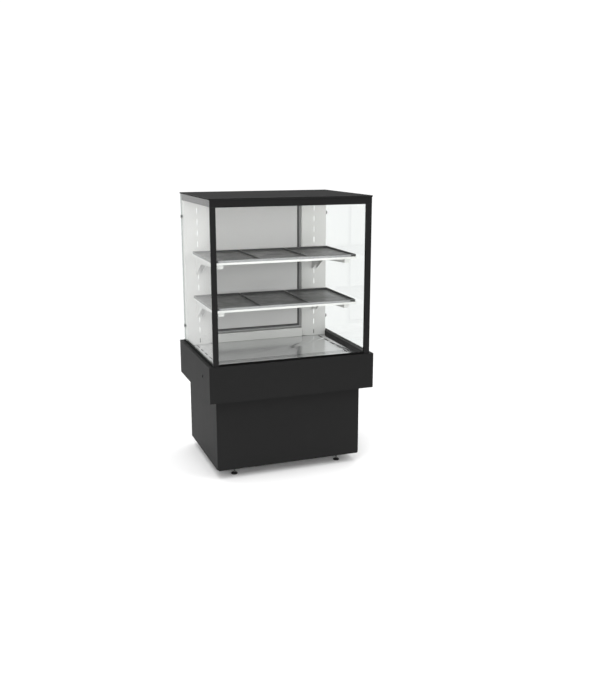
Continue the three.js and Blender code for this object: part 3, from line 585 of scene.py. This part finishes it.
panel_face = box_mm("service_panel")[1].y
rounded("service_panel", 0.4)
bm = bmesh.new()
for x in LOUVRE_CENTRES:
    for row in range(LOUVRE_ROWS):
        low = LOUVRE_BOTTOM + row * LOUVRE_PITCH
        top = low + LOUVRE_OPENING
        hood = [
            (panel_face + 0.02, top + 4), (panel_face + 2.6, top + 2.6), (panel_face + 5.0, top - 0.5),
            (panel_face + 6.2, top - 5), (panel_face + 6.6, low + 0.5), (panel_face + 5.4, low + 0.5),
            (panel_face + 5.0, top - 5), (panel_face + 3.9, top - 1.2), (panel_face + 1.8, top + 1.2),
            (panel_face + 0.02, top + 2.2),
        ]
        prism(bm, hood, "x", x - LOUVRE_HALF_WIDTH, x + LOUVRE_HALF_WIDTH)
        cheek = [*hood[:5], (panel_face + 0.02, low + 0.5)]
        for end in (x - LOUVRE_HALF_WIDTH, x + LOUVRE_HALF_WIDTH):
            prism(bm, cheek, "x", end - HOOD_CHEEK / 2, end + HOOD_CHEEK / 2)
finished("service_panel_louvres", bm, (BLACK, BLACK_EDGE), "case", 0.25 * MM, 1)

screw_places = [(x, z) for x in SCREW_COLUMNS for z in SCREW_ROWS]
for number, (x, z) in enumerate(screw_places, 1):
    cross_screw(f"service_panel_screw_{number}", (x, panel_face, z), 4.2, "case")

# Thermostat: a knob with a fluted skirt, a grip bar and a pointer line, over a printed dial.
DIAL_START = -math.pi / 4
DIAL_STEP = 22.5
FLUTE_STEPS = 96
GRIP_STEPS = 48
SKIRT_TOP = 4.2
GRIP_TOP = 10.4

knob_lo, knob_hi = box_mm("thermostat_knob")
dial = Vector(((knob_lo.x + knob_hi.x) / 2, knob_lo.y, (knob_lo.z + knob_hi.z) / 2))


def on_dial(radius, angle):
    """A point (x, z) around the knob's axis."""
    return dial.x + radius * math.cos(angle), dial.z + radius * math.sin(angle)


bm = bmesh.new()
flutes = []
for k in range(FLUTE_STEPS):
    radius = 17.6 + 0.4 * math.cos(2 * math.pi * k / 8)
    flutes.append(on_dial(radius, 2 * math.pi * k / FLUTE_STEPS))
prism(bm, flutes, "y", dial.y, dial.y + SKIRT_TOP)
finished("thermostat_knob_skirt", bm, (PLASTIC, PLASTIC_EDGE), BODY["thermostat_knob"],
         0.3 * MM, stands_for=("thermostat_knob",))
bm = bmesh.new()
grip = []
for k in range(GRIP_STEPS):
    angle = 2 * math.pi * k / GRIP_STEPS
    pinch = 1 - 0.45 * abs(math.sin(angle)) ** 1.5
    grip.append(on_dial(13.6 * pinch, angle + DIAL_START))
prism(bm, grip, "y", dial.y + SKIRT_TOP, dial.y + GRIP_TOP)
finished("thermostat_knob_grip", bm, (PLASTIC, PLASTIC_EDGE), BODY["thermostat_knob"],
         0.8 * MM, 3)
bm = bmesh.new()
line = [
    on_dial(3, DIAL_START - 0.2), on_dial(12.8, DIAL_START - 0.047),
    on_dial(12.8, DIAL_START + 0.047), on_dial(3, DIAL_START + 0.2),
]
prism(bm, line, "y", dial.y + 10.0, dial.y + 10.5)
finished("thermostat_knob_pointer", bm, (PRINT,), BODY["thermostat_knob"])
bm = bmesh.new()
for k in range(13):
    angle = DIAL_START + math.radians(DIAL_STEP * k)
    reach = 22.6 if k % 2 else 24.2
    corners = [
        on_dial(20.4, angle - 0.017), on_dial(reach, angle - 0.014),
        on_dial(reach, angle + 0.014), on_dial(20.4, angle + 0.017),
    ]
    prism(bm, corners, "y", panel_face + 0.02, panel_face + 0.12)
finished("thermostat_dial_marks", bm, (PRINT,), "case")
for k in range(7):
    text = bpy.data.curves.new("numeral", "FONT")
    text.body, text.size, text.extrude = str(k), 6.4 * MM, 0.05 * MM
    text.align_x, text.align_y, text.resolution_u = "CENTER", "CENTER", 3
    numeral = bpy.data.objects.new("numeral", text)
    bpy.context.scene.collection.objects.link(numeral)
    bpy.context.view_layer.update()
    mesh = bpy.data.meshes.new_from_object(numeral.evaluated_get(bpy.context.evaluated_depsgraph_get()))
    bpy.data.objects.remove(numeral)
    x, z = on_dial(29.4, DIAL_START + math.radians(2 * DIAL_STEP * k))
    mesh.transform(Matrix((
        (-1, 0, 0, x * MM), (0, 0, 1, (panel_face + 0.08) * MM), (0, 1, 0, z * MM), (0, 0, 0, 1),
    )))
    bm = bmesh.new()
    bm.from_mesh(mesh)
    finished(f"thermostat_dial_number_{k}", bm, (PRINT,), "case")


def pins_in_metal(bm):
    """Gives the pins in the power inlet's socket the third material."""
    lo, hi = box_mm("power_inlet")
    middle = (lo.z + hi.z) / 2
    for face in bm.faces:
        c = face.calc_center_median() * 1000
        inside = abs(c.x - (lo.x + hi.x) / 2) < 8.5 and abs(c.z - middle) < 4.6
        if inside and c.y > lo.y + 5:
            face.material_index = 2


rounded("power_inlet", 0.0, looks=(PLASTIC, PLASTIC_EDGE, ZINC), change=pins_in_metal)


# ---- Glass box ----------------------------------------------------------------------------

for side_name, side in (("left", -1), ("right", 1)):
    for level in ("upper", "lower"):
        node = f"glass_fixing_{side_name}_{level}"
        lo, hi = box_mm(node)
        y, z = (lo.y + hi.y) / 2, (lo.z + hi.z) / 2
        bm = bmesh.new()
        profile = [(4, -5.8), (4, 0.3), (9, 0.3), (9, 2.9), (8.6, 3.6), (7.8, 4.2), (6.6, 4.5), (3.2, 4.6),
                   (3.0, 4.2), (2.6, 3.4), (0, 3.4)]
        lathed(bm, [(0, -5.8 * side)] + [(r, h * side) for r, h in profile], "x", (380 * side, y, z), 40)
        finished(f"{node}_button", bm, (CHROME,), "case", stands_for=(node,))

# Lamp end caps under the cap plate.
lamp_lo, lamp_hi = box_mm("top_lamp")
for name, x0, x1 in (("left", lamp_lo.x - 9, lamp_lo.x - 0.2), ("right", lamp_hi.x + 0.2, lamp_hi.x + 9)):
    bm = bmesh.new()
    slab(bm, (x0, x1), (lamp_lo.y + 0.5, lamp_hi.y - 0.5), (lamp_lo.z + 1, lamp_hi.z - 0.5))
    finished(f"top_lamp_end_{name}", bm, (WHITE, WHITE_EDGE), "case", 1.5 * MM, 3)


# ---- Shelves ------------------------------------------------------------------------------

for level in ("upper", "lower"):
    for name in ("left", "middle", "right"):
        node = f"tray_{level}_{name}"
        rounded(node, 0.6, 3)
        lo, hi = box_mm(node)
        inset, radius, corner = 1.25, 1.15, 6.0
        x0, x1, y0, y1 = lo.x + inset, hi.x - inset, lo.y + inset, hi.y - inset
        rim = []
        for cx, cy, start in ((x1 - corner, y0 + corner, -90), (x1 - corner, y1 - corner, 0),
                              (x0 + corner, y1 - corner, 90), (x0 + corner, y0 + corner, 180)):
            for k in range(7):
                angle = math.radians(start + 15 * k)
                rim.append((
                    cx + corner * math.cos(angle), cy + corner * math.sin(angle), hi.z - radius + 0.9,
                ))
        bm = bmesh.new()
        tube(bm, rim, radius, 10, True)
        finished(f"{node}_rolled_rim", bm, (TRAY_EDGE,), BODY[node])


# ---- Rear door ----------------------------------------------------------------------------

door_lo, door_hi = box_mm("rear_door_frame")


def door_border(bm, outer, inner):
    """Four flat strips around the door's inner side, between two insets from its edge."""
    x0, x1, z0, z1 = door_lo.x + outer, door_hi.x - outer, door_lo.z + outer, door_hi.z - outer
    wide = inner - outer
    depth = (door_lo.y - 0.7, door_lo.y - 0.02)
    slab(bm, (x0, x1), depth, (z0, z0 + wide))
    slab(bm, (x0, x1), depth, (z1 - wide, z1))
    slab(bm, (x0, x0 + wide), depth, (z0 + wide, z1 - wide))
    slab(bm, (x1 - wide, x1), depth, (z0 + wide, z1 - wide))


def door_rib(bm, inset, radius):
    """A round rib that runs around the door's inner side."""
    bend = 3
    x0, x1 = door_lo.x + inset, door_hi.x - inset
    z0, z1 = door_lo.z + inset, door_hi.z - inset
    corners = (
        (x1 - bend, z0 + bend, -90), (x1 - bend, z1 - bend, 0),
        (x0 + bend, z1 - bend, 90), (x0 + bend, z0 + bend, 180),
    )
    loop = []
    for cx, cz, start in corners:
        for k in range(4):
            angle = math.radians(start + 30 * k)
            loop.append((cx + bend * math.cos(angle), door_lo.y - 0.5, cz + bend * math.sin(angle)))
    tube(bm, loop, radius, 8, True)


gasket = bmesh.new()
door_border(gasket, 8.2, 17.0)
door_rib(gasket, 10.4, 1.2)
door_rib(gasket, 14.4, 1.2)
finished("rear_door_gasket", gasket, (GASKET,), "rear_door")
lip = bmesh.new()
door_border(lip, 0.8, 7.8)
door_rib(lip, 4.4, 1.2)
finished("rear_door_gasket_lip", lip, (GASKET_LIP,), "rear_door")

HANDLE_SCREW_X = -231.2
HANDLE_SCREW_Y = 284.75
for number, z in enumerate((842, 998), 1):
    place = (HANDLE_SCREW_X, HANDLE_SCREW_Y, z)
    cross_screw(f"rear_door_handle_screw_{number}", place, 3.0, "rear_door")


# ---- Stage, light -------------------------------------------------------------------------

floor_bm = bmesh.new()
bmesh.ops.create_circle(floor_bm, cap_ends=True, segments=96, radius=4)
floor_mesh = bpy.data.meshes.new("studio_floor")
floor_bm.to_mesh(floor_mesh)
floor_bm.free()
floor = bpy.data.objects.new("studio_floor", floor_mesh)
bpy.context.scene.collection.objects.link(floor)
look = Look("studio_floor")
spread = look.node("ShaderNodeVectorMath", operation="LENGTH")
look.feed(spread.inputs[0], look.place)
fade = look.ranged(spread.outputs["Value"], 0.9, 3.2, 0.0, 1.0)
base = look.node("ShaderNodeBsdfDiffuse", Color=rgba(0.9))
clear = look.node("ShaderNodeBsdfTransparent", Color=rgba(1))
mixed = look.node("ShaderNodeMixShader", Fac=fade)
look.feed(mixed.inputs[1], base.outputs[0])
look.feed(mixed.inputs[2], clear.outputs[0])
look.feed(look.output.inputs[0], mixed.outputs[0])
floor_mesh.materials.append(look.material)

world = bpy.data.worlds.new("studio")
bpy.context.scene.world = world
world.use_nodes = True
tree = world.node_tree
tree.nodes.clear()


def world_node(kind, **inputs):
    made = tree.nodes.new(kind)
    for key, value in inputs.items():
        if isinstance(value, bpy.types.NodeSocket):
            tree.links.new(value, made.inputs[key])
        else:
            made.inputs[key].default_value = value
    return made


direction = world_node("ShaderNodeTexCoord").outputs["Generated"]
parts = world_node("ShaderNodeSeparateXYZ", Vector=direction)
depth = world_node("ShaderNodeMapRange", Value=parts.outputs["Y"])
for key, number in zip(("From Min", "From Max", "To Min", "To Max"), (-0.9, 0.3, 0.34, 0.97)):
    depth.inputs[key].default_value = number
path = world_node("ShaderNodeLightPath")
strength = tree.nodes.new("ShaderNodeMix")
strength.data_type = "FLOAT"
tree.links.new(path.outputs["Is Camera Ray"], strength.inputs[0])
tree.links.new(depth.outputs[0], strength.inputs[2])
strength.inputs[3].default_value = 1.05
background = world_node("ShaderNodeBackground", Color=rgba(1), Strength=strength.outputs[0])
world_node("ShaderNodeOutputWorld", Surface=background.outputs[0])


def softbox(name, location, target, size, power):
    """A rectangular light aimed at a point, which no surface mirrors."""
    data = bpy.data.lights.new(name, "AREA")
    data.shape = "RECTANGLE"
    data.size, data.size_y = size
    data.energy = power
    lamp = bpy.data.objects.new(name, data)
    lamp.location = location
    lamp.rotation_euler = (Vector(target) - Vector(location)).to_track_quat("-Z", "Y").to_euler()
    lamp.visible_glossy = False
    lamp.visible_camera = False
    bpy.context.scene.collection.objects.link(lamp)


softbox("key", (-2.2, -3.2, 3.4), (0, 0, 0.7), (2.4, 2.4), 66)
softbox("front", (-0.6, -4.2, 1.15), (0, 0, 0.95), (3.0, 1.6), 95)
softbox("fill", (2.6, -2.6, 2.2), (0, 0, 0.7), (2.2, 2.2), 35)
softbox("top", (0, -0.2, 4.2), (0, 0, 0), (3.5, 3.5), 125)

scene = bpy.context.scene
scene.view_settings.view_transform = "Standard"
scene.cycles.transparent_max_bounces = 32
